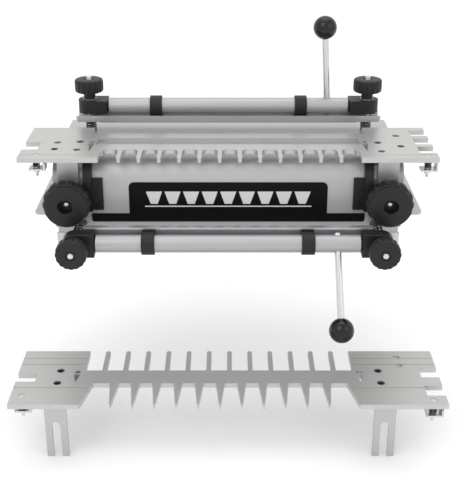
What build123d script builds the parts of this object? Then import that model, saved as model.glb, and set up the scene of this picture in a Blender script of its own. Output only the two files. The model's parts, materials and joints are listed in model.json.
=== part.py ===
from build123d import *

import os
from math import atan2, degrees, pi, sqrt

# Dovetail jig: a bent sheet-metal base with two cam clamps, two threaded studs that
# carry a comb template, and a second template that fits the same studs.
# Frame: X to the right, Y to the back, Z up. The origin is the centre of the four
# bench bolts, on the underside of the feet. Everything is in millimetres.

# Base
BODY_HALF = 223.0
BODY_FRONT = -125.0
BODY_BACK = 85.0
DECK = 88.0
APRON = -14.0
NOSE_R = 25.0
BACK_R = 22.0
SHEET = 3.0
FOOT_OUT = 262.0
FOOT_FRONT = -83.0
BENCH_X = 494.0
BENCH_Y = 120.0
BENCH_HOLE_R = 3.5

# Threaded studs
STUD_R = 4.0
SLIDE_R = 4.3
THREAD_R = 4.06
CLAMP_STUD_X = 192.0
TEMPLATE_STUD_X = 205.0
TEMPLATE_STUD_Z = 44.0
TOP_CENTRE = (15.0, 124.0)
FRONT_CENTRE = (-190.0, 5.0)

# Cam clamps, given from the tube's centre with z away from the board
TUBE_R = 11.1
TUBE_BORE = 9.1
TUBE_HALF = 165.0
CAM_THROW = 1.5
JOURNAL_R = 6.0
BLOCK_W = 31.0
BLOCK_LOW = -8.0
BLOCK_HIGH = 10.0
BLOCK_IN = 167.0
BAR_W = 34.0
BAR_H = 8.4
BAR_LOW = -18.5
BAR_SHEET = 2.4
RELIEF_X = 182.0
RELIEF_DEEP = 8.8
CLIP_X = 100.0
CLIP_W = 16.5
LEVER_X = 137.0
LEVER_R = 4.4
LEVER_LONG = 108.5
LEVER_PROUD = 2.2
BALL_R = 15.8
TOP_BAR_LONG = 421.0
FRONT_BAR_LONG = 432.0

# Knobs: outer radius, thickness and lobes
SMALL_KNOB = (20.0, 18.0, 16)
BIG_KNOB = (30.5, 24.0, 14)

# Templates
PLATE_HALF = 264.5
PLATE_DEEP = 127.0
PLATE_T = 6.35
TEMPLATE_FRONT = -150.0
TEMPLATE_TOP = 104.0
SPARE_FRONT = -318.0
SPARE_TOP = -149.0
BRACKET_T = 4.8
BRACKET_LEG = 82.65
BRACKET_W = 27.0
FORK_W = 10.3
FORK_HIGH = 38.6

# The edge stops and the label.
STOP_SCREW = (170.0, 34.0)
STOP_PAD = (161.5, 180.0)
STOP_PAD_Z = (26.0, 69.0)
FIN_X = (175.0, 186.0)
FIN_PROUD = 11.0
FIN_TOP = DECK + 4.2
LABEL_TAB = (128.5, 19.6, 62.6)
LABEL_STRIP = (178.0, 8.0, 19.6)
LABEL_T = 0.8

# The two combs.
BLIND_FINGERS = 12
BLIND_PITCH = 25.4
BLIND_CENTRE = 2.0
FINGER_W = 5.7
GAP_CORNER = 8.0
THROUGH_PITCH = 26.4


def write(name, shape):
    """Write one node, either a solid or a group of separate solids."""
    solids = shape.solids() if hasattr(shape, "solids") else shape
    export_step(Compound(children=list(solids)), f"parts/{name}.step")


def span(x, y, z):
    """A box between two values on each axis."""
    size = [b - a for a, b in (x, y, z)]
    middle = [(a + b) / 2 for a, b in (x, y, z)]
    return Pos(*middle) * Box(*size)


def rod(radius, low, high):
    """A cylinder on Z between two heights."""
    return Pos(0, 0, (low + high) / 2) * Cylinder(radius, high - low)


def bore_y(radius, x, z, low, high):
    """A cylinder along Y at x and z, between two depths."""
    return Pos(x, (low + high) / 2, z) * Rot(90, 0, 0) * Cylinder(radius, high - low)


def both(make):
    """A group of the left and the right solid that make(side) gives."""
    return make(-1) + make(1)


def group(shapes):
    """Separate solids kept as one node."""
    return [s for shape in shapes for s in shape.solids()]


def hexagon(across, low, high):
    """A hexagonal prism on Z."""
    return extrude(Pos(0, 0, low) * RegularPolygon(across / sqrt(3), 6), high - low)


def nut(radius, across, low, high):
    """A hexagonal nut on Z with a thread bore."""
    return hexagon(across, low, high) - rod(radius + 0.05, low - 1, high + 1)


def lobed(outer, thick, lobes):
    """A knob's head: a disc with round lobes on its rim, from z = 0 up."""
    bump = pi * outer / lobes / 1.12
    outline = Circle(outer - 0.55 * bump)
    for turn in range(lobes):
        outline += Rot(0, 0, 360 * turn / lobes) * Pos(outer - bump, 0) * Circle(bump)
    head = extrude(outline, thick)
    dome = rod(outer - 0.4, 0, thick)
    dome = chamfer(dome.edges().filter_by(GeomType.CIRCLE), 1.6)
    return head & dome


def coil(radius, wire, low, high, turns):
    """A compression spring on Z with its wire ends cut flat by the seats."""
    rise = high - low - wire * 2 - 0.4
    path = Helix(rise / turns, rise, radius)
    section = Plane(origin=path @ 0, z_dir=path % 0) * Circle(wire)
    return Pos(0, 0, low + wire + 0.2) * sweep(section, path=path, is_frenet=True)


# ---------------------------------------------------------------- base
def side_profile(inset, low):
    """The body's outline on YZ, with a large bullnose at the top front edge."""
    front, back, top = BODY_FRONT + inset, BODY_BACK - inset, DECK - inset
    nose, tail = NOSE_R - inset, BACK_R - inset
    with BuildLine(Plane.YZ) as line:
        Line((front, low), (front, top - nose))
        TangentArc((front, top - nose), (front + nose, top), tangent=(0, 1))
        Line((front + nose, top), (back - tail, top))
        TangentArc((back - tail, top), (back, top - tail), tangent=(1, 0))
        Line((back, top - tail), (back, low))
        Line((back, low), (front, low))
    return make_face(line.edges())


def slab(inset, low, left, right):
    """The body's outline as a solid between two values of X."""
    return Pos(left, 0, 0) * extrude(side_profile(inset, low), right - left, dir=(1, 0, 0))


def base_shell():
    """The bent sheet: apron, bullnose, deck and rear wall."""
    shell = slab(0, APRON, -BODY_HALF, BODY_HALF)
    shell -= slab(SHEET, APRON - 10, -BODY_HALF - 1, BODY_HALF + 1)
    shell -= span((-300, 300), (BODY_BACK - 20, BODY_BACK + 1), (APRON - 1, 0))
    for side in (-1, 1):
        stud = Pos(side * CLAMP_STUD_X, TOP_CENTRE[0])
        shell -= stud * rod(SLIDE_R, DECK - 5, DECK + 1)
        low, high = BODY_FRONT - 1, BODY_FRONT + 5
        shell -= bore_y(SLIDE_R, side * CLAMP_STUD_X, FRONT_CENTRE[1], low, high)
        shell -= bore_y(SLIDE_R, side * TEMPLATE_STUD_X, TEMPLATE_STUD_Z, low, high)
        shell -= bore_y(2.1, side * STOP_SCREW[0], STOP_SCREW[1], low, high)
    return shell


def end_plate(side):
    """A welded end wall whose lower edge turns outwards as the foot."""
    wall = slab(0, 0, BODY_HALF, BODY_HALF + SHEET)
    foot = span((BODY_HALF, FOOT_OUT), (FOOT_FRONT, BODY_BACK), (0, SHEET))
    corners = foot.edges().filter_by(Axis.Z).group_by(Axis.X)[-1]
    plate = wall + fillet(corners, 8)
    for back in (-1, 1):
        plate -= Pos(BENCH_X / 2, back * BENCH_Y / 2) * rod(BENCH_HOLE_R, -1, SHEET + 1)
    return plate if side > 0 else mirror(plate, Plane.YZ)


def edge_stop(side):
    """A moulded stop: a pad screwed to the front face and a fin round the bullnose."""
    pad = span(STOP_PAD, (BODY_FRONT - 4.5, BODY_FRONT), STOP_PAD_Z)
    pad -= bore_y(2.6, *STOP_SCREW, BODY_FRONT - 6, BODY_FRONT + 1)
    pad -= bore_y(4.6, *STOP_SCREW, BODY_FRONT - 6, BODY_FRONT - 2.2)
    fin = slab(-FIN_PROUD, 10, *FIN_X) - slab(0, 0, *FIN_X)
    fin &= span(FIN_X, (BODY_FRONT - 12, BODY_FRONT + 64), (STOP_PAD_Z[0], FIN_TOP))
    stop = pad + fin
    return stop if side > 0 else mirror(stop, Plane.YZ)


def stop_screw(side):
    x, z = side * STOP_SCREW[0], STOP_SCREW[1]
    screw = bore_y(4.3, x, z, BODY_FRONT - 4.4, BODY_FRONT - 2.2)
    screw += bore_y(2.0, x, z, BODY_FRONT - 2.2, BODY_FRONT + 9)
    return screw - bore_y(1.5, x, z, BODY_FRONT - 5, BODY_FRONT - 3.2)


def label_plate():
    """A plain dark plate: a wide strip with a taller rounded panel above it."""
    front = (BODY_FRONT - LABEL_T, BODY_FRONT)
    tab = span((-LABEL_TAB[0], LABEL_TAB[0]), front, LABEL_TAB[1:])
    tab = fillet(tab.edges().filter_by(Axis.Y).group_by(Axis.Z)[-1], 7)
    strip = span((-LABEL_STRIP[0], LABEL_STRIP[0]), front, LABEL_STRIP[1:])
    strip = fillet(strip.edges().filter_by(Axis.Y).group_by(Axis.Z)[0], 3)
    return tab + strip


def base_nodes():
    """The fixed pieces of the jig's body."""
    top_y, front_z = TOP_CENTRE[0], FRONT_CENTRE[1]
    inside = BODY_FRONT + SHEET
    write("base_shell", base_shell())
    write("left_end_plate", end_plate(-1))
    write("right_end_plate", end_plate(1))
    write("left_edge_stop", edge_stop(-1))
    write("right_edge_stop", edge_stop(1))
    write("edge_stop_screws", both(stop_screw))
    write("label_plate", label_plate())

    def top_stud(side):
        return Pos(side * CLAMP_STUD_X, top_y) * rod(STUD_R, DECK - 12, DECK + 78)

    def front_stud(side):
        return bore_y(STUD_R, side * CLAMP_STUD_X, front_z, -230, inside + 9)

    def template_stud(side):
        x = side * TEMPLATE_STUD_X
        return bore_y(STUD_R, x, TEMPLATE_STUD_Z, -158, inside + 9)

    write("top_clamp_studs", both(top_stud))
    write("front_clamp_studs", both(front_stud))
    write("template_studs", both(template_stud))

    def seat(side):
        flat = nut(STUD_R, 13, 0, 6.5)
        below = Pos(side * CLAMP_STUD_X, top_y, DECK - SHEET - 6.5) * flat
        behind = Rot(-90, 0, 0) * flat
        return [
            below,
            Pos(side * CLAMP_STUD_X, inside, front_z) * behind,
            Pos(side * TEMPLATE_STUD_X, inside, TEMPLATE_STUD_Z) * behind,
        ]

    write("stud_nuts", group(seat(-1) + seat(1)))


# ---------------------------------------------------------------- clamps
def along(direction):
    """The rotation that turns Z towards a direction."""
    x, y, z = direction
    return Rot(0, 0, degrees(atan2(y, x))) * Rot(0, degrees(atan2(sqrt(x * x + y * y), z)), 0)


def clamp_block(side, axis):
    """A moulded end block: square inside, round about the stud, with a journal bore."""
    low, high = BLOCK_LOW, BLOCK_HIGH
    body = span((BLOCK_IN, CLAMP_STUD_X), (-BLOCK_W / 2, BLOCK_W / 2), (low, high))
    body += Pos(CLAMP_STUD_X, 0, 0) * rod(BLOCK_W / 2, low, high)
    body -= Pos(CLAMP_STUD_X, 0, 0) * rod(SLIDE_R, low - 1, high + 1)
    journal = Rot(0, 90, 0) * Cylinder(JOURNAL_R + 0.08, 20)
    body -= Pos(BLOCK_IN + 8, *axis) * journal
    return body if side > 0 else mirror(body, Plane.YZ)


def cam_tube(lever):
    """The tube that the lever turns, drilled across for the lever."""
    tube = Rot(0, 90, 0) * (Cylinder(TUBE_R, 2 * TUBE_HALF) - Cylinder(TUBE_BORE, 400))
    return tube - Pos(LEVER_X, 0, 0) * lever * Cylinder(LEVER_R + 0.05, 60)


def journal(side, axis):
    """A plug in the tube's end with a pin set off its centre by the cam's throw."""
    plug = Rot(0, 90, 0) * rod(TUBE_BORE - 0.03, TUBE_HALF - 14, TUBE_HALF + 0.5)
    pin = Pos(0, *axis) * Rot(0, 90, 0) * rod(JOURNAL_R, TUBE_HALF, BLOCK_IN + 16)
    part = plug + pin
    return part if side > 0 else mirror(part, Plane.YZ)


def pressure_bar(length, relief):
    """A channel whose flat back presses the board, with its ends relieved on one side."""
    half, wide = length / 2, BAR_W / 2
    x = (-half, half)
    bar = span(x, (-wide, wide), (BAR_LOW, BAR_LOW + BAR_H))
    bar = fillet(bar.edges().filter_by(Axis.Z), 3)
    inner = wide - BAR_SHEET
    top = BAR_LOW + BAR_SHEET
    bar -= span((-half - 1, half + 1), (-inner, inner), (top, top + 20))
    for side in (-1, 1):
        bar -= Pos(side * CLAMP_STUD_X, 0, 0) * rod(6.8, BAR_LOW - 1, top + 1)
        if relief:
            ends = sorted((side * RELIEF_X, side * (half + 1)))
            edge = sorted((relief * (wide - RELIEF_DEEP), relief * (wide + 1)))
            bar -= span(ends, edge, (BAR_LOW - 1, 0))
    return bar


def grip_strip(length):
    """Coarse non-slip strip on the bar's pressing face, between the studs."""
    half = CLAMP_STUD_X - 14
    wide = BAR_W / 2 - 2
    return span((-half, half), (-wide, wide), (BAR_LOW - 1.2, BAR_LOW))


def tube_clip(side):
    """A clip round the tube, on a foot that is riveted to the bar."""
    width = Rot(0, 90, 0)
    clip = width * Cylinder(14.2, CLIP_W)
    foot = (BAR_LOW + BAR_SHEET, 0)
    clip += span((-CLIP_W / 2, CLIP_W / 2), (-12, 12), foot)
    clip -= width * Cylinder(TUBE_R + 0.08, 40)
    return Pos(side * CLIP_X, 0, 0) * clip


def small_knob():
    """A lobed knob with a neck that bears on the block's washer, from z = 0 up."""
    outer, thick, lobes = SMALL_KNOB
    neck = 9.0
    knob = Pos(0, 0, neck) * lobed(outer, thick, lobes) + rod(8, 0, neck + 1)
    knob -= rod(6.0, neck + thick - 1.2, neck + thick + 1)
    return knob - rod(THREAD_R, -1, neck + thick + 1)


def clamp_nodes(name, place, length, lever_way, axis, seat, relief):
    """One cam clamp. place carries the local frame into the jig's frame."""
    lever = along(lever_way)
    across = Pos(LEVER_X, 0, 0) * lever
    washer_top = BLOCK_HIGH + 1.2

    def washer(side):
        ring = rod(9, BLOCK_HIGH, washer_top) - rod(SLIDE_R, 0, 20)
        return Pos(side * CLAMP_STUD_X, 0, 0) * ring

    def spring(side):
        return Pos(side * CLAMP_STUD_X, 0, 0) * coil(6.6, 0.9, seat, BAR_LOW, 5)

    ball = Pos(0, 0, LEVER_LONG) * Sphere(BALL_R)
    ball -= rod(LEVER_R + 0.05, 0, LEVER_LONG)
    shapes = {
        "end_blocks": both(lambda side: clamp_block(side, axis)),
        "cam_tube": cam_tube(lever),
        "cam_journals": both(lambda side: journal(side, axis)),
        "pressure_bar": pressure_bar(length, relief),
        "grip_strip": grip_strip(length),
        "tube_clips": both(tube_clip),
        "lever_rod": across * rod(LEVER_R, -TUBE_R - LEVER_PROUD, LEVER_LONG - 0.5),
        "lever_ball": across * ball,
        "knob_washers": both(washer),
        "left_knob": Pos(-CLAMP_STUD_X, 0, washer_top) * small_knob(),
        "right_knob": Pos(CLAMP_STUD_X, 0, washer_top) * small_knob(),
        "springs": both(spring),
    }
    for key, shape in shapes.items():
        write(f"{name}_{key}", place * shape)


# ---------------------------------------------------------------- template knobs
def big_knob():
    """The large lobed knob, from its hub's face at z = 0 up, with a deep centre hole."""
    outer, thick, lobes = BIG_KNOB
    hub, crown = 12.0, 6.0
    knob = Pos(0, 0, hub) * lobed(outer, thick - crown, lobes) + rod(15, 0, hub + 1)
    knob += rod(outer - 3.0, hub + 1, hub + thick)
    knob -= rod(9.25, hub + thick - 12, hub + thick + 1)
    return knob - rod(THREAD_R, -1, hub + thick)


def template_knob_nodes():
    """The two knobs and washers that hold the template's brackets."""
    face = BODY_FRONT - BRACKET_T
    for name, side in (("left", -1), ("right", 1)):
        at = Pos(side * TEMPLATE_STUD_X, face, TEMPLATE_STUD_Z) * Rot(90, 0, 0)
        ring = rod(13, 0, 1.6) - rod(SLIDE_R, -1, 3)
        write(f"{name}_template_washer", at * ring)
        write(f"{name}_template_knob", at * Pos(0, 0, 1.6) * big_knob())


# ---------------------------------------------------------------- templates
def block2d(x, y):
    """A flat rectangle between two values on each axis."""
    return Pos((x[0] + x[1]) / 2, (y[0] + y[1]) / 2) * Rectangle(x[1] - x[0], y[1] - y[0])


def finger(x, root, tip, width):
    """A straight finger with a round end, from its root to its tip along Y."""
    end = tip + (width / 2 if tip < root else -width / 2)
    return block2d((x - width / 2, x + width / 2), sorted((root, end))) + Pos(x, end) * Circle(
        width / 2
    )


def sight(x, low, high):
    """A keyhole-shaped sighting window."""
    wedge = Polygon((x, low), (x + 4, high - 9), (x - 4, high - 9), align=None)
    return wedge + Pos(x, high - 3.5) * Circle(3.5)


def blind_outline():
    """The half-blind comb: straight fingers, a spine and a rear bar, on two plates."""
    opening = (BLIND_FINGERS + 1) * BLIND_PITCH / 2
    left, right = BLIND_CENTRE - opening, BLIND_CENTRE + opening
    plate = block2d((-PLATE_HALF, PLATE_HALF), (0, PLATE_DEEP))
    plate -= block2d((left, right), (-1, 35))
    plate -= block2d((-172, 172), (55, 81))
    plate -= block2d((-182, 182), (100, PLATE_DEEP + 1))
    for n in range(BLIND_FINGERS + 2):
        x = left + n * BLIND_PITCH
        if 0 < n <= BLIND_FINGERS:
            plate += finger(x, 36, 0, FINGER_W)
        arm = FINGER_W / 2 + GAP_CORNER
        root = block2d((x - arm, x + arm), (35 - GAP_CORNER, 36))
        for side in (-arm, arm):
            root -= Pos(x + side, 35 - GAP_CORNER) * Circle(GAP_CORNER)
        plate += root
    plate -= block2d((-PLATE_HALF - 1, -PLATE_HALF + 20), (34, 64))
    for low, high in ((21, 45), (55, 80), (91, 114)):
        plate -= block2d((243, PLATE_HALF + 1), (low, high))
    for side in (-1, 1):
        plate -= sight(side * 177.5, 26, 68)
    return plate


def through_outline():
    """The through comb: straight pins at the back and pointed pins at the front."""
    plate = block2d((-PLATE_HALF, PLATE_HALF), (0, PLATE_DEEP))
    plate -= Polygon((-179, -1), (158.7, -1), (147.9, 48), (-168.2, 48), align=None)
    plate -= block2d((-180.5, 157), (78.6, PLATE_DEEP + 1))
    for n in range(11):
        x = -9.7 + (n - 5) * THROUGH_PITCH
        tail = ((x - 5.3, 49), (x - 0.8, 0.8), (x + 0.8, 0.8), (x + 5.3, 49))
        plate += Polygon(*tail, align=None)
    for n in range(12):
        x = -11.6 + (n - 5.5) * THROUGH_PITCH
        plate += finger(x, 78, PLATE_DEEP, 6.0)
    plate -= block2d((-PLATE_HALF - 1, -PLATE_HALF + 24), (52, 70))
    for low, high in ((20, 42), (62, 84)):
        plate -= block2d((242, PLATE_HALF + 1), (low, high))
    plate -= sight(-190, 50, 78)
    plate -= sight(165.5, 50, 78)
    return plate


def template(outline, screws, open_holes, grooves, gauges):
    """A plate from an outline, with counterbored screw holes and scribed lines."""
    plate = Pos(0, 0, -PLATE_T) * extrude(outline, PLATE_T)
    for x, y in screws:
        plate -= Pos(x, y, 0) * (rod(4.9, -4.0, 1) + rod(2.75, -10, 1))
    for x, y in open_holes:
        plate -= Pos(x, y, 0) * rod(4.7, -10, 1)
    for x, y in gauges:
        plate -= Pos(x, y, 0) * (rod(4.0, -2.6, 1) + rod(2.1, -10, 1))
    for x, y in grooves:
        plate -= span(x, (y - 0.6, y + 0.6), (-0.7, 1))
    return plate


def bracket(x):
    """An angle bracket under a template: a flange and a forked leg."""
    low = -PLATE_T - BRACKET_LEG
    back = BODY_FRONT - TEMPLATE_FRONT
    front = back - BRACKET_T
    flange = span((-25, 25), (front, 84), (-PLATE_T - BRACKET_T, -PLATE_T))
    leg = span((-BRACKET_W / 2, BRACKET_W / 2), (front, back), (low, -PLATE_T))
    leg -= span((-FORK_W / 2, FORK_W / 2), (0, 50), (low - 1, -FORK_HIGH - FORK_W / 2))
    leg -= bore_y(FORK_W / 2, 0, -FORK_HIGH - FORK_W / 2, 0, 50)
    part = Pos(x, 0, 0) * (flange + leg)
    return part


def plate_screw(x, y):
    """A flat-headed socket screw from the template into the bracket."""
    screw = rod(4.6, -4.0, -1.2) + rod(2.45, -PLATE_T - BRACKET_T, -3.5)
    socket = extrude(Pos(0, 0, -2.9) * RegularPolygon(2.2, 6), 3)
    return Pos(x, y, 0) * (screw - socket)


def depth_gauge(x, y):
    """A small angle plate that hangs under a template on a sprung screw."""
    tongue = span((-9, 12), (-8, 9), (-19.5, -17.1))
    wall = span((9.6, 12), (-8, 9), (-19.5, -9.6))
    return Pos(x, y, 0) * (tongue + wall - rod(2.3, -25, -15))


def gauge_screw(x, y):
    """The screw with its head in the plate and a nut under the tongue."""
    screw = rod(3.6, -2.6, -0.4) + rod(2.0, -28, -2.5)
    return Pos(x, y, 0) * (screw + hexagon(7, -22.9, -19.7))


def gauge_spring(x, y):
    return Pos(x, y, 0) * coil(3.9, 0.7, -17.1, -PLATE_T, 4)


def template_nodes(name, place, outline, brackets, pairs, open_holes, grooves, gauges):
    """One template with its brackets, screws and depth gauges."""
    plate = template(outline, pairs, open_holes, grooves, gauges)
    for tag, x in zip(("left", "right"), brackets):
        part = bracket(x)
        for sx, sy in pairs:
            part -= Pos(sx, sy, 0) * rod(2.5, -20, 0)
        for hx, hy in open_holes:
            part -= Pos(hx, hy, 0) * rod(4.7, -20, 0)
        write(f"{name}_{tag}_bracket", place * part)
    write(f"{name}_plate", place * plate)
    write(f"{name}_screws", place * group_of([plate_screw(*p) for p in pairs]))
    for tag, spot in zip(("left", "right"), gauges):
        write(f"{name}_{tag}_depth_gauge", place * depth_gauge(*spot))
    write(f"{name}_gauge_screws", place * group_of([gauge_screw(*g) for g in gauges]))
    write(f"{name}_gauge_springs", place * group_of([gauge_spring(*g) for g in gauges]))


def group_of(shapes):
    return Compound(children=[s for shape in shapes for s in shape.solids()])


def all_nodes():
    os.makedirs("parts", exist_ok=True)
    base_nodes()
    top = Pos(0, *TOP_CENTRE)
    front = Pos(0, *FRONT_CENTRE) * Rot(90, 0, 0)
    top_way, front_way = (-0.06, 0, 1), (0.035, -0.875, 0.483)
    top_seat, front_seat = DECK - TOP_CENTRE[1], FRONT_CENTRE[0] - BODY_FRONT
    throw = CAM_THROW
    clamp_nodes("top", top, TOP_BAR_LONG, top_way, (-throw, 0), top_seat, 0)
    clamp_nodes("front", front, FRONT_BAR_LONG, front_way, (0, throw), front_seat, 1)
    template_knob_nodes()

    fitted = Pos(0, TEMPLATE_FRONT, TEMPLATE_TOP)
    screws = [(-222.5, 36), (-193.5, 66), (195, 62), (222.7, 47)]
    holes = [(-222.5, 62.5), (-193.5, 33), (195, 26.5), (222.7, 90.6)]
    lines = [((-264, -165), 12), ((170, 264), 12)]
    gauges = [(-243, 14), (252, 10)]
    studs = (-TEMPLATE_STUD_X, TEMPLATE_STUD_X)
    outline = blind_outline()
    template_nodes("half_blind", fitted, outline, studs, screws, holes, lines, gauges)

    spare = Pos(0, SPARE_FRONT, SPARE_TOP)
    screws = [(-212, 78), (-212, 49), (189.6, 78), (189.6, 49)]
    holes = [(217.5, 111), (218, 91)]
    lines = [((-264, -182), 108.6), ((-264, -182), 93.4), ((-264, -172), 37.8)]
    lines += [((160, 264), 108.6), ((160, 264), 93.4), ((152, 264), 37.8)]
    legs = (-212.0, 193.0)
    gauges = [(-251, 20), (248, 10)]
    outline = through_outline()
    template_nodes("through", spare, outline, legs, screws, holes, lines, gauges)


all_nodes()
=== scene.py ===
"""A dovetail jig: finishes, detailed pieces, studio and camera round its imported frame."""

from __future__ import annotations

import json
import logging
import math
from dataclasses import dataclass
from enum import Enum
from typing import Any, Sequence, Union

import bmesh
import bpy
from mathutils import Matrix, Vector


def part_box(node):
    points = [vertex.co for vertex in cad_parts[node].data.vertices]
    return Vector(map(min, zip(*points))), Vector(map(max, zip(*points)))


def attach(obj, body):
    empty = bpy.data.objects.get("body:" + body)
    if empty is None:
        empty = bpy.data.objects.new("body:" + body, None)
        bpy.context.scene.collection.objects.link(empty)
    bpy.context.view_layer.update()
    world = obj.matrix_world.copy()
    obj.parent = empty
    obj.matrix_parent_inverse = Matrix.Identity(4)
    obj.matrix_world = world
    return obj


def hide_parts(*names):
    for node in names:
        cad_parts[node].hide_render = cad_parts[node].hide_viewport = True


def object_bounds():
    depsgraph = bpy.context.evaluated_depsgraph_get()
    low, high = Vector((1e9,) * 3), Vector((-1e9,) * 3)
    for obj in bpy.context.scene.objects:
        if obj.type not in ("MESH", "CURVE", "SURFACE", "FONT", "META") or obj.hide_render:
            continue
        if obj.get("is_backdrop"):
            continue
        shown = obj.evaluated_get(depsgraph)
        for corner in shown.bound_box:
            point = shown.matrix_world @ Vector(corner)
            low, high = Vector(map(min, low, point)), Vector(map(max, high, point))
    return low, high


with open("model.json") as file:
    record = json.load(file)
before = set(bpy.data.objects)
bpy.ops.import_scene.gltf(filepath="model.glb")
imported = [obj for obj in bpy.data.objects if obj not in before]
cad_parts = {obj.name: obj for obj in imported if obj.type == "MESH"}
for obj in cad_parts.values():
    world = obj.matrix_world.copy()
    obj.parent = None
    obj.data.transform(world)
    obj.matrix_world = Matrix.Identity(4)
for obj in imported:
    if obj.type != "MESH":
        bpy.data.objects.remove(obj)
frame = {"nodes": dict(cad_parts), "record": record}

LOG = logging.getLogger("dovetail_jig")
Colour = tuple[float, float, float]
Value = Union["Sock", float]
MM = 0.001
TURN = 2 * math.pi
STUD_BORE = 4.06 * MM
KNOB_SOFT = 2.2 * MM
DISC_STEP = 3.0 * MM
EASE_ANGLE = 40.0
SHADE_ANGLE = 35.0


# ------------------------------------------------------------------ shader maths
class Sock:
    """A node socket with arithmetic: an expression on it adds Math nodes."""

    def __init__(self, graph: "Graph", socket: bpy.types.NodeSocket) -> None:
        """Wraps a socket of a graph."""
        self.graph = graph
        self.socket = socket

    def _math(self, operation: str, first: Value, second: Value) -> "Sock":
        """Adds one Math node.

        Args:
            operation: The node's operation.
            first: The first value.
            second: The second value.
        Returns:
            The result's socket.
        """
        node = self.graph.node("ShaderNodeMath", {"operation": operation}, {0: first, 1: second})
        return self.graph.out(node, 0)

    def __add__(self, other: Value) -> "Sock":
        """This value plus another."""
        return self._math("ADD", self, other)

    def __sub__(self, other: Value) -> "Sock":
        """This value minus another."""
        return self._math("SUBTRACT", self, other)

    def __rsub__(self, other: Value) -> "Sock":
        """Another value minus this one."""
        return self._math("SUBTRACT", other, self)

    def __mul__(self, other: Value) -> "Sock":
        """This value times another."""
        return self._math("MULTIPLY", self, other)

    __radd__ = __add__
    __rmul__ = __mul__


class Graph:
    """A node tree and the one way to add a node to it."""

    def __init__(self, tree: bpy.types.NodeTree) -> None:
        """Starts an empty graph on a tree."""
        self.tree = tree
        tree.nodes.clear()

    def node(self, kind: str, settings: dict[str, Any], inputs: dict[Any, Any]) -> bpy.types.Node:
        """Adds a node.

        Args:
            kind: The node's type.
            settings: Properties, which are set first.
            inputs: Values, sockets or Socks, by input name or number.
        Returns:
            The node.
        """
        node = self.tree.nodes.new(kind)
        for key, value in settings.items():
            setattr(node, key, value)
        for key, value in inputs.items():
            if isinstance(value, Sock):
                self.tree.links.new(value.socket, node.inputs[key])
            elif isinstance(value, bpy.types.NodeSocket):
                self.tree.links.new(value, node.inputs[key])
            else:
                node.inputs[key].default_value = value
        return node

    def out(self, node: bpy.types.Node, key: Any) -> Sock:
        """A node's output as a Sock."""
        return Sock(self, node.outputs[key])


# ------------------------------------------------------------------ finishes
class Grain(Enum):
    """How a surface's fine texture runs: the stretch of its noise along X, Y and Z, per metre."""

    ROLLED = (18.0, 900.0, 900.0)
    DRAWN = (10.0, 1500.0, 1500.0)
    CROSSWISE = (1100.0, 22.0, 1100.0)
    MOULDED = (1900.0, 1900.0, 1900.0)
    ORANGE_PEEL = (700.0, 700.0, 700.0)
    COARSE = (1400.0, 1400.0, 1400.0)
    SMOOTH = (90.0, 90.0, 90.0)


@dataclass(frozen=True)
class Finish:
    """One surface finish, with its colour, gloss, grain and slow patches."""

    name: str
    colour: Colour
    metal: float
    rough: float
    grain: Grain
    relief: float = 0.15
    depth: float = 0.00008
    mottle: float = 0.06
    spread: float = 0.08
    patch: float = 14.0
    coat: float = 0.0
    shine: float = 0.5

    def build(self) -> bpy.types.Material:
        """Makes the material.

        Returns:
            The material, ready for a slot.
        """
        material = bpy.data.materials.new(self.name)
        material.use_nodes = True
        material.diffuse_color = (*self.colour, 1.0)
        graph = Graph(material.node_tree)
        place = graph.out(graph.node("ShaderNodeTexCoord", {}, {}), "Object")
        stretch = graph.node(
            "ShaderNodeVectorMath", {"operation": "MULTIPLY"}, {0: place, 1: self.grain.value}
        )
        fine = self._noise(graph, graph.out(stretch, 0), 1.0, 3.0)
        slow = self._noise(graph, place, self.patch, 4.0)
        scuff = self._noise(graph, place, self.patch * 9, 5.0)
        blend = fine * 0.55 + slow * 0.3 + scuff * 0.15
        dark, light = (tuple(min(1.0, c * (1 + s * self.mottle)) for c in self.colour) for s in (-1, 1))
        tint = graph.node(
            "ShaderNodeMix",
            {"data_type": "RGBA"},
            {"Factor": blend, 6: (*dark, 1.0), 7: (*light, 1.0)},
        )
        gloss = self.rough - self.spread * 0.5 + blend * self.spread
        bump = graph.node(
            "ShaderNodeBump",
            {},
            {"Strength": self.relief, "Distance": self.depth, "Height": fine + scuff * 0.3},
        )
        surface = graph.node(
            "ShaderNodeBsdfPrincipled",
            {},
            {
                "Base Color": graph.out(tint, 2),
                "Roughness": gloss,
                "Metallic": self.metal,
                "Specular IOR Level": self.shine,
                "Coat Weight": self.coat,
                "Coat Roughness": 0.12,
                "Normal": graph.out(bump, 0),
            },
        )
        graph.node("ShaderNodeOutputMaterial", {}, {"Surface": graph.out(surface, 0)})
        return material

    @staticmethod
    def _noise(graph: Graph, place: Sock, scale: float, detail: float) -> Sock:
        """A noise value at a place.

        Args:
            graph: The material's graph.
            place: The coordinates.
            scale: How fine it is, per metre.
            detail: The number of octaves.
        Returns:
            The noise, about 0 to 1.
        """
        inputs = {"Vector": place, "Scale": scale, "Detail": detail, "Roughness": 0.6}
        return graph.out(graph.node("ShaderNodeTexNoise", {}, inputs), 0)


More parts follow.
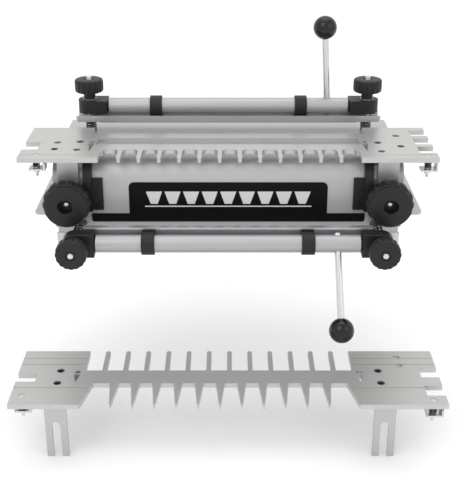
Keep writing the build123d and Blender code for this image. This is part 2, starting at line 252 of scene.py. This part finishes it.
PAINTED = Finish("painted_sheet", (0.44, 0.442, 0.45), 0.3, 0.4, Grain.ORANGE_PEEL, 0.12, mottle=0.03)
PLATE = Finish("milled_plate", (0.50, 0.497, 0.488), 0.66, 0.36, Grain.ROLLED, 0.2, mottle=0.12)
EXTRUDED = Finish("extruded_bar", (0.54, 0.545, 0.56), 0.8, 0.34, Grain.ROLLED, 0.18, mottle=0.06)
CAST = Finish("bent_bracket", (0.48, 0.485, 0.495), 0.75, 0.4, Grain.CROSSWISE, 0.2, mottle=0.08)
DRAWN = Finish("drawn_tube", (0.40, 0.403, 0.41), 0.55, 0.42, Grain.DRAWN, 0.06, mottle=0.04)
NYLON = Finish(
    "black_nylon", (0.010, 0.0105, 0.011), 0.0, 0.46, Grain.MOULDED, 0.3, 0.0001, 0.3, 0.12, shine=0.32
)
PHENOLIC = Finish(
    "polished_ball", (0.003, 0.003, 0.0033), 0.0, 0.09, Grain.SMOOTH, 0.02, spread=0.03, shine=0.4
)
OXIDE = Finish("black_oxide", (0.03, 0.03, 0.033), 0.7, 0.36, Grain.MOULDED, 0.2, mottle=0.3)
ZINC = Finish("zinc_plate", (0.62, 0.62, 0.61), 0.95, 0.26, Grain.SMOOTH, 0.1, mottle=0.1, patch=60.0)
# Black gritty grip strip. On the front clamp this dark strip also stands in for the shaded gap between the
# body's front wall and the clamp bar: painted shadow.
GRIP_AND_GAP_SHADE = Finish("grip_grit_and_painted_gap_shade", (0.03, 0.03, 0.03), 0.0, 0.85, Grain.COARSE, 0.9, 0.0004, 0.6)
SATIN = Finish("label_face", (0.004, 0.004, 0.0043), 0.0, 0.45, Grain.SMOOTH, 0.05, mottle=0.1, shine=0.1)
PRINT = Finish("label_print", (0.62, 0.62, 0.61), 0.0, 0.45, Grain.SMOOTH, 0.05, mottle=0.05)
FLOOR = Finish("studio_floor", (0.95, 0.95, 0.95), 0.0, 0.7, Grain.SMOOTH, 0.0, mottle=0.004, patch=0.6)


class Paintbox:
    """Makes each finish's material once."""

    def __init__(self) -> None:
        """Starts with no materials made."""
        self._made: dict[str, bpy.types.Material] = {}

    def of(self, finish: Finish) -> bpy.types.Material:
        """The material of a finish."""
        if finish.name not in self._made:
            self._made[finish.name] = finish.build()
        return self._made[finish.name]


# ------------------------------------------------------------------ mesh helpers
def finish_piece(
    name: str, mesh: bpy.types.Mesh, material: bpy.types.Material, nodes: Sequence[str], body: str
) -> bpy.types.Object:
    """Puts a mesh in the scene as a piece that stands for CAD nodes.

    Args:
        name: The piece's name.
        mesh: Its mesh, in place in the jig's frame.
        material: Its finish.
        nodes: The CAD nodes that it replaces.
        body: The body that it rides on.
    Returns:
        The object.
    """
    mesh.materials.clear()
    mesh.materials.append(material)
    piece = bpy.data.objects.new(name, mesh)
    bpy.context.scene.collection.objects.link(piece)
    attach(piece, body)
    if nodes:
        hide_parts(*nodes)
    LOG.info("%s: %d faces", name, len(mesh.polygons))
    return piece


def settle(work: bmesh.types.BMesh, place: Matrix, sharp: float) -> bpy.types.Mesh:
    """Moves a shape into place and shades it smooth below an angle.

    Args:
        work: The shape, which is used up.
        place: The matrix to apply.
        sharp: The angle in degrees past which an edge stays sharp.
    Returns:
        The mesh.
    """
    work.transform(place)
    for face in work.faces:
        face.smooth = True
    for edge in work.edges:
        bend = edge.calc_face_angle(math.pi) if len(edge.link_faces) == 2 else math.pi
        edge.smooth = bend < math.radians(sharp)
    mesh = bpy.data.meshes.new("piece")
    work.to_mesh(mesh)
    work.free()
    return mesh


def eased(node: str, width: float, segments: int = 2) -> bpy.types.Mesh:
    """A copy of a CAD node with its sharp edges broken, as a tumbled or moulded part has.

    Args:
        node: The CAD node.
        width: The edge's width in metres.
        segments: Facets across each edge.
    Returns:
        The mesh.
    """
    work = bmesh.new()
    work.from_mesh(frame["nodes"][node].data)
    bmesh.ops.remove_doubles(work, verts=work.verts, dist=1e-6)
    true_volume = work.calc_volume(signed=False)
    plain = settle(work.copy(), Matrix.Identity(4), SHADE_ANGLE)
    bmesh.ops.dissolve_limit(
        work, angle_limit=math.radians(1.0), verts=work.verts, edges=work.edges, delimit=set()
    )
    mesh = settle(work, Matrix.Identity(4), SHADE_ANGLE)
    piece = bpy.data.objects.new("easing", mesh)
    bpy.context.scene.collection.objects.link(piece)
    bevel = piece.modifiers.new("ease", "BEVEL")
    bevel.width, bevel.segments = width, segments
    bevel.limit_method, bevel.angle_limit = "ANGLE", math.radians(EASE_ANGLE)
    bevel.use_clamp_overlap, bevel.harden_normals = True, False
    bpy.context.view_layer.update()
    done = bpy.data.meshes.new_from_object(
        piece.evaluated_get(bpy.context.evaluated_depsgraph_get())
    )
    bpy.data.objects.remove(piece)
    if sound(done, true_volume):
        return done
    LOG.warning("%s keeps its plain edges", node)
    return plain


def sound(mesh: bpy.types.Mesh, volume: float, slack: float = 0.04) -> bool:
    """Whether a mesh is closed and still has about its first volume.

    Args:
        mesh: The mesh to test.
        volume: The volume it had, in cubic metres.
        slack: The share of the volume that it may have lost or gained.
    Returns:
        True when no edge is open and the volume is kept.
    """
    work = bmesh.new()
    work.from_mesh(mesh)
    bmesh.ops.triangulate(work, faces=work.faces)
    closed = all(len(edge.link_faces) == 2 for edge in work.edges)
    kept = abs(work.calc_volume(signed=False) - volume) <= slack * volume
    work.free()
    return closed and kept


def towards(origin: Vector, direction: Vector) -> Matrix:
    """A matrix that stands Z along a direction at an origin."""
    turn = direction.to_track_quat("Z", "Y").to_matrix().to_4x4()
    return Matrix.Translation(origin) @ turn


# ------------------------------------------------------------------ repeats
@dataclass
class MarkRow:
    """A row of flat printed marks, made by Geometry Nodes."""

    count: int
    pitch: float
    wide: float
    tall: float
    thick: float
    splay: float = 0.0

    def tree(self, material: bpy.types.Material) -> bpy.types.GeometryNodeTree:
        """Builds the tree: a line of points, a splayed block on each, made real.

        Args:
            material: The marks' finish.
        Returns:
            The node tree.
        """
        tree = bpy.data.node_groups.new("mark_row", "GeometryNodeTree")
        for name, kind in (("Count", "Int"), ("Pitch", "Float"), ("Size", "Vector"), ("Splay", "Float")):
            tree.interface.new_socket(name, in_out="INPUT", socket_type=f"NodeSocket{kind}")
        tree.interface.new_socket("Mesh", in_out="OUTPUT", socket_type="NodeSocketGeometry")
        graph = Graph(tree)
        given = graph.node("NodeGroupInput", {}, {})
        step = graph.node("ShaderNodeCombineXYZ", {}, {"X": graph.out(given, "Pitch")})
        line = graph.node(
            "GeometryNodeMeshLine", {}, {"Count": graph.out(given, "Count"), "Offset": step.outputs[0]}
        )
        block = graph.node("GeometryNodeMeshCube", {}, {"Size": graph.out(given, "Size")})
        position = graph.node("GeometryNodeInputPosition", {}, {})
        here = graph.node("ShaderNodeSeparateXYZ", {}, {0: position.outputs[0]})
        lean = graph.out(here, "X") * graph.out(here, "Z") * graph.out(given, "Splay")
        shift = graph.node("ShaderNodeCombineXYZ", {}, {"X": lean})
        splayed = graph.node(
            "GeometryNodeSetPosition", {}, {"Geometry": block.outputs[0], "Offset": shift.outputs[0]}
        )
        rows = graph.node(
            "GeometryNodeInstanceOnPoints", {}, {"Points": line.outputs[0], "Instance": splayed.outputs[0]}
        )
        real = graph.node("GeometryNodeRealizeInstances", {}, {0: rows.outputs[0]})
        dressed = graph.node(
            "GeometryNodeSetMaterial", {}, {"Geometry": real.outputs[0], "Material": material}
        )
        graph.node("NodeGroupOutput", {}, {0: dressed.outputs[0]})
        return tree

    def build(self, material: bpy.types.Material, place: Matrix) -> bpy.types.Mesh:
        """Runs the tree and moves its marks into place.

        Args:
            material: The marks' finish.
            place: The first mark's middle, as a matrix.
        Returns:
            The mesh.
        """
        host = bpy.data.objects.new("marks", bpy.data.meshes.new("marks"))
        bpy.context.scene.collection.objects.link(host)
        modifier = host.modifiers.new("row", "NODES")
        modifier.node_group = self.tree(material)
        size = (self.wide, self.thick, self.tall)
        values = {"Count": self.count, "Pitch": self.pitch, "Size": size, "Splay": self.splay}
        for item in modifier.node_group.interface.items_tree:
            if item.name in values:
                modifier[item.identifier] = values[item.name]
        host.update_tag()
        bpy.context.view_layer.update()
        mesh = bpy.data.meshes.new_from_object(
            host.evaluated_get(bpy.context.evaluated_depsgraph_get())
        )
        bpy.data.objects.remove(host)
        mesh.transform(place)
        return mesh


@dataclass
class ScrewThread:
    """A threaded rod, with a rounded V thread and chamfered ends."""

    radius: float = 4.0 * MM
    pitch: float = 1.25 * MM
    cut: float = 0.55 * MM
    around: int = 20
    per_turn: int = 4

    def build(self, length: float, place: Matrix) -> bpy.types.Mesh:
        """Makes the rod from z = 0 up.

        Args:
            length: The rod's length.
            place: The matrix that carries it into the jig's frame.
        Returns:
            The mesh.
        """
        rows = max(8, round(length / self.pitch * self.per_turn))
        work = bmesh.new()
        grid = []
        for row in range(rows + 1):
            height = length * row / rows
            from_end = min(height, length - height)
            limit = self.radius - max(0.0, 0.9 * MM - from_end)
            ring = []
            for step in range(self.around):
                angle = TURN * step / self.around
                phase = (height / self.pitch - step / self.around) % 1.0
                reach = min(limit, self.radius - self.cut * (1 - abs(2 * phase - 1)))
                ring.append(
                    work.verts.new((reach * math.cos(angle), reach * math.sin(angle), height))
                )
            grid.append(ring)
        for low, high in zip(grid, grid[1:]):
            for step in range(self.around):
                after = (step + 1) % self.around
                work.faces.new((low[step], low[after], high[after], high[step]))
        work.faces.new(list(reversed(grid[0])))
        work.faces.new(grid[-1])
        return settle(work, place, 50.0)


def joined(meshes: Sequence[bpy.types.Mesh]) -> bpy.types.Mesh:
    """One mesh made of several."""
    work = bmesh.new()
    for mesh in meshes:
        work.from_mesh(mesh)
    for face in work.faces:
        face.material_index = 0
    together = bpy.data.meshes.new("joined")
    work.to_mesh(together)
    work.free()
    return together


# ------------------------------------------------------------------ sub-assemblies
@dataclass
class Assembly:
    """A group of pieces that share a paintbox."""

    paint: Paintbox

    def body_of(self, node: str) -> str:
        """The body that a CAD node belongs to."""
        groups = frame["record"]["behaviour"]["bodies"]
        return next(body for body, nodes in groups.items() if node in nodes)

    def dress(self, node: str, finish: Finish) -> None:
        """Gives a CAD node its finish as it is."""
        slots = frame["nodes"][node].data.materials
        slots.clear()
        slots.append(self.paint.of(finish))
        LOG.info("%s keeps its shape", node)

    def ease(self, node: str, finish: Finish, width: float = 0.5 * MM) -> None:
        """Replaces a CAD node with a copy whose edges are broken."""
        mesh = eased(node, width)
        finish_piece(f"{node}_eased", mesh, self.paint.of(finish), [node], self.body_of(node))

    def thread(self, node: str, axis: int, toward: float) -> None:
        """Replaces a pair of plain studs with threaded ones.

        Args:
            node: The CAD node that holds both studs.
            axis: The stud's axis, 1 for Y or 2 for Z.
            toward: 1 where its free end has the higher value, else -1.
        """
        low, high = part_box(node)
        radius = ScrewThread().radius
        direction = Vector((0.0, 0.0, 0.0))
        direction[axis] = toward
        rods = []
        for x in (low.x + radius, high.x - radius):
            start = (low + high) / 2
            start.x = x
            start[axis] = low[axis] if toward > 0 else high[axis]
            rods.append(ScrewThread().build(high[axis] - low[axis], towards(start, direction)))
        finish_piece(f"{node}_threaded", joined(rods), self.paint.of(ZINC), [node], self.body_of(node))


@dataclass
class Knob(Assembly):
    """A lobed knob on a neck, with a soft rim and a centre recess."""

    node: str
    axis: Vector
    lobes: int
    neck_radius: float
    neck: float
    recess_radius: float
    recess: float
    scallop: float
    crown: float = 0.0

    def build(self) -> None:
        """Makes the knob in its CAD node's box, with a smooth disc over its lobes if it has a crown."""
        low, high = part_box(self.node)
        middle = (low + high) / 2
        size = high - low
        axis = max(range(3), key=lambda i: abs(self.axis[i]))
        tall = size[axis]
        radius = max(size[i] for i in range(3) if i != axis) / 2
        foot = middle - self.axis * tall / 2
        wave, soft = self.scallop, KNOB_SOFT
        bore, rim = STUD_BORE, tall - self.crown
        face = [(radius - soft * 2.0, tall, wave * 0.3)]
        if self.crown:
            disc = radius - DISC_STEP
            face = [(disc, rim, 0), (disc, tall - 1.6 * MM, 0), (disc - 0.5 * MM, tall - 0.5 * MM, 0)]
            face.append((disc - 1.6 * MM, tall, 0))
        rings = [
            (bore, 0, 0),
            (self.neck_radius - 0.5 * MM, 0, 0),
            (self.neck_radius, 0.5 * MM, 0),
            (self.neck_radius, self.neck - 1.2 * MM, 0),
            (self.neck_radius + 1.2 * MM, self.neck, 0),
            (radius - soft * 1.5, self.neck, wave * 0.4),
            (radius - soft * 0.35, self.neck + soft * 0.5, wave * 0.9),
            (radius, self.neck + soft * 1.5, wave),
            (radius, (self.neck + rim) / 2, wave),
            (radius, rim - soft * 1.5, wave),
            (radius - soft * 0.35, rim - soft * 0.45, wave * 0.9),
            (radius - soft * 1.1, rim - 0.08 * soft, wave * 0.6),
            *face,
            (self.recess_radius + 0.7 * MM, tall, 0),
            (self.recess_radius, tall - 0.7 * MM, 0),
            (self.recess_radius - 0.2 * MM, tall - self.recess, 0),
            (bore, tall - self.recess, 0),
        ]
        place = towards(foot, self.axis)
        mesh = self._tube(rings, place)
        body = self.body_of(self.node)
        finish_piece(f"{self.node}_moulded", mesh, self.paint.of(NYLON), [self.node], body)

    def _tube(self, rings: Sequence[tuple[float, float, float]], place: Matrix) -> bpy.types.Mesh:
        """Turns a closed loop of rings, with the bore between its last and first ring.

        Args:
            rings: Each ring's radius, height and wave depth.
            place: The matrix that carries it into place.
        Returns:
            The mesh.
        """
        steps = self.lobes * 12
        work = bmesh.new()
        grid = []
        for radius, height, wave in rings:
            ring = []
            for step in range(steps):
                angle = TURN * step / steps
                crest = abs(math.cos(self.lobes * angle / 2)) ** 0.6
                reach = radius - wave * (1 - crest)
                ring.append(
                    work.verts.new((reach * math.cos(angle), reach * math.sin(angle), height))
                )
            grid.append(ring)
        for low, high in zip(grid, [*grid[1:], grid[0]]):
            for step in range(steps):
                after = (step + 1) % steps
                work.faces.new((low[step], low[after], high[after], high[step]))
        bmesh.ops.recalc_face_normals(work, faces=work.faces)
        return settle(work, place, 38.0)


@dataclass
class Base(Assembly):
    """The bent sheet body with its end plates, stops, label and studs."""

    edge: float = 0.6 * MM
    label_gap: float = 0.04 * MM
    dovetails: int = 9

    def build(self) -> None:
        """Makes and dresses every fixed piece."""
        for node in ("base_shell", "left_end_plate", "right_end_plate"):
            self.ease(node, PAINTED, self.edge)
        for node in ("left_edge_stop", "right_edge_stop"):
            self.ease(node, NYLON, self.edge)
        self.dress("edge_stop_screws", OXIDE)
        self.ease("stud_nuts", ZINC, 0.4 * MM)
        self.ease("label_plate", SATIN, 0.2 * MM)
        self.thread("top_clamp_studs", 2, 1)
        self.thread("front_clamp_studs", 1, -1)
        self.thread("template_studs", 1, -1)
        self.print_label()

    def print_label(self) -> None:
        """A plain row of dovetails and a rail, in thin light print."""
        low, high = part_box("label_plate")
        thick = 0.12 * MM
        front = low.y - thick / 2 - self.label_gap
        tail_pitch, tail_wide, tail_tall = 24.0 * MM, 15.0 * MM, 17.0 * MM
        tails = MarkRow(self.dovetails, tail_pitch, tail_wide, tail_tall, thick, 46.0)
        first = Vector((-(self.dovetails - 1) / 2 * tail_pitch, front, high.z - 21.0 * MM))
        ink = self.paint.of(PRINT)
        meshes = [tails.build(ink, Matrix.Translation(first))]
        rail = MarkRow(1, tail_pitch, self.dovetails * tail_pitch, 1.6 * MM, thick)
        meshes.append(rail.build(ink, Matrix.Translation((0, front, first.z - tail_tall / 2 - 3.4 * MM))))
        finish_piece("label_print", joined(meshes), ink, [], "base")


@dataclass
class CamClamp(Assembly):
    """One cam clamp: blocks, tube, lever, bar, clips and knobs."""

    name: str
    axis: Vector

    def build(self) -> None:
        """Makes and dresses the clamp."""
        name = self.name
        self.ease(f"{name}_end_blocks", NYLON, 1.0 * MM)
        self.ease(f"{name}_tube_clips", NYLON, 0.5 * MM)
        self.ease(f"{name}_pressure_bar", EXTRUDED, 0.4 * MM)
        self.ease(f"{name}_cam_tube", DRAWN, 0.3 * MM)
        self.ease(f"{name}_lever_ball", PHENOLIC, 0.3 * MM)
        self.ease(f"{name}_lever_rod", ZINC, 0.5 * MM)
        self.dress(f"{name}_cam_journals", NYLON)
        # The front clamp's black grip strip is also painted shadow for the gap behind its bar; the top
        # clamp's strip is a plain grip strip.
        self.dress(f"{name}_grip_strip", GRIP_AND_GAP_SHADE)
        self.dress(f"{name}_knob_washers", ZINC)
        self.dress(f"{name}_springs", OXIDE)
        for side in ("left", "right"):
            knob = f"{name}_{side}_knob"
            sizes = (16, 8.0 * MM, 9.0 * MM, 6.0 * MM, 1.2 * MM, 1.1 * MM)
            Knob(self.paint, knob, self.axis, *sizes).build()


@dataclass
class Template(Assembly):
    """A comb template on its brackets, with its screws and depth gauges."""

    name: str

    def build(self) -> None:
        """Makes and dresses the template."""
        self.ease(f"{self.name}_plate", PLATE, 0.35 * MM)
        for side in ("left", "right"):
            self.ease(f"{self.name}_{side}_bracket", CAST, 0.5 * MM)
            self.ease(f"{self.name}_{side}_depth_gauge", ZINC, 0.3 * MM)
        self.dress(f"{self.name}_screws", OXIDE)
        self.dress(f"{self.name}_gauge_screws", ZINC)
        self.dress(f"{self.name}_gauge_springs", OXIDE)


@dataclass
class HoldDown(Assembly):
    """The two large knobs and washers that clamp the template's brackets."""

    def build(self) -> None:
        """Makes both knobs and dresses their washers."""
        for side in ("left", "right"):
            sizes = (14, 15.0 * MM, 12.0 * MM, 9.25 * MM, 12.0 * MM, 2.0 * MM, 6.0 * MM)
            front = Vector((0.0, -1.0, 0.0))
            Knob(self.paint, f"{side}_template_knob", front, *sizes).build()
            self.dress(f"{side}_template_washer", ZINC)


# ------------------------------------------------------------------ studio
@dataclass
class Studio:
    """A pale floor, soft lights and the camera."""

    paint: Paintbox
    lens: float = 74.5
    pitch: float = 23.8
    stand_off: float = 1.333
    height: float = 0.512
    aside: float = 0.0023
    room: float = 9.0

    def build(self, low: Vector, high: Vector) -> None:
        """Builds the studio round the jig.

        Args:
            low: The jig's lowest corner.
            high: Its highest corner.
        """
        self._floor(low.z)
        self._lights((low + high) / 2)
        self._camera()

    def _floor(self, level: float) -> None:
        """A wide plain floor at a level."""
        mesh = bpy.data.meshes.new("studio_floor")
        r = self.room
        mesh.from_pydata([(-r, -r, level), (r, -r, level), (r, r, level), (-r, r, level)], [], [(0, 1, 2, 3)])
        mesh.materials.append(self.paint.of(FLOOR))
        floor = bpy.data.objects.new("studio_floor", mesh)
        bpy.context.scene.collection.objects.link(floor)
        floor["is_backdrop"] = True

    def _lights(self, centre: Vector) -> None:
        """An even sky and three large soft lights aimed at the jig."""
        world = bpy.data.worlds.new("soft_sky")
        world.use_nodes = True
        graph = Graph(world.node_tree)
        sky = graph.node("ShaderNodeBackground", {}, {"Color": (1.0, 1.0, 1.0, 1.0), "Strength": 1.04})
        graph.node("ShaderNodeOutputWorld", {}, {"Surface": sky.outputs[0]})
        bpy.context.scene.world = world
        lamps = (
            ("key", (-0.9, -1.3, 1.7), 1.4, 9.0),
            ("fill", (1.4, -1.1, 1.0), 1.2, 3.0),
            ("top", (0.1, 0.5, 1.9), 1.6, 8.0),
        )
        for name, at, size, power in lamps:
            light = bpy.data.lights.new(name, "AREA")
            light.size, light.energy = size, power
            lamp = bpy.data.objects.new(name, light)
            lamp.location = centre + Vector(at)
            lamp.rotation_euler = (centre - lamp.location).to_track_quat("-Z", "Y").to_euler()
            bpy.context.scene.collection.objects.link(lamp)

    def _camera(self) -> None:
        """A long lens in front of the jig, looking slightly down."""
        data = bpy.data.cameras.new("camera")
        data.lens, data.sensor_width = self.lens, 36.0
        camera = bpy.data.objects.new("camera", data)
        camera.location = (self.aside, -self.stand_off, self.height)
        camera.rotation_euler = (math.radians(90 - self.pitch), 0.0, 0.0)
        bpy.context.scene.collection.objects.link(camera)
        bpy.context.scene.camera = camera
        bpy.context.scene.view_settings.view_transform = "Standard"


def main() -> None:
    """Builds the jig's sub-assemblies and the studio."""
    logging.basicConfig(level=logging.INFO, format="%(name)s: %(message)s")
    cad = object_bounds()
    paint = Paintbox()
    assemblies: list[Any] = [
        Base(paint),
        CamClamp(paint, "top", Vector((0.0, 0.0, 1.0))),
        CamClamp(paint, "front", Vector((0.0, -1.0, 0.0))),
        HoldDown(paint),
        Template(paint, "half_blind"),
        Template(paint, "through"),
    ]
    for assembly in assemblies:
        assembly.build()
    Studio(paint).build(*cad)


if __name__ == "__main__":
    main()
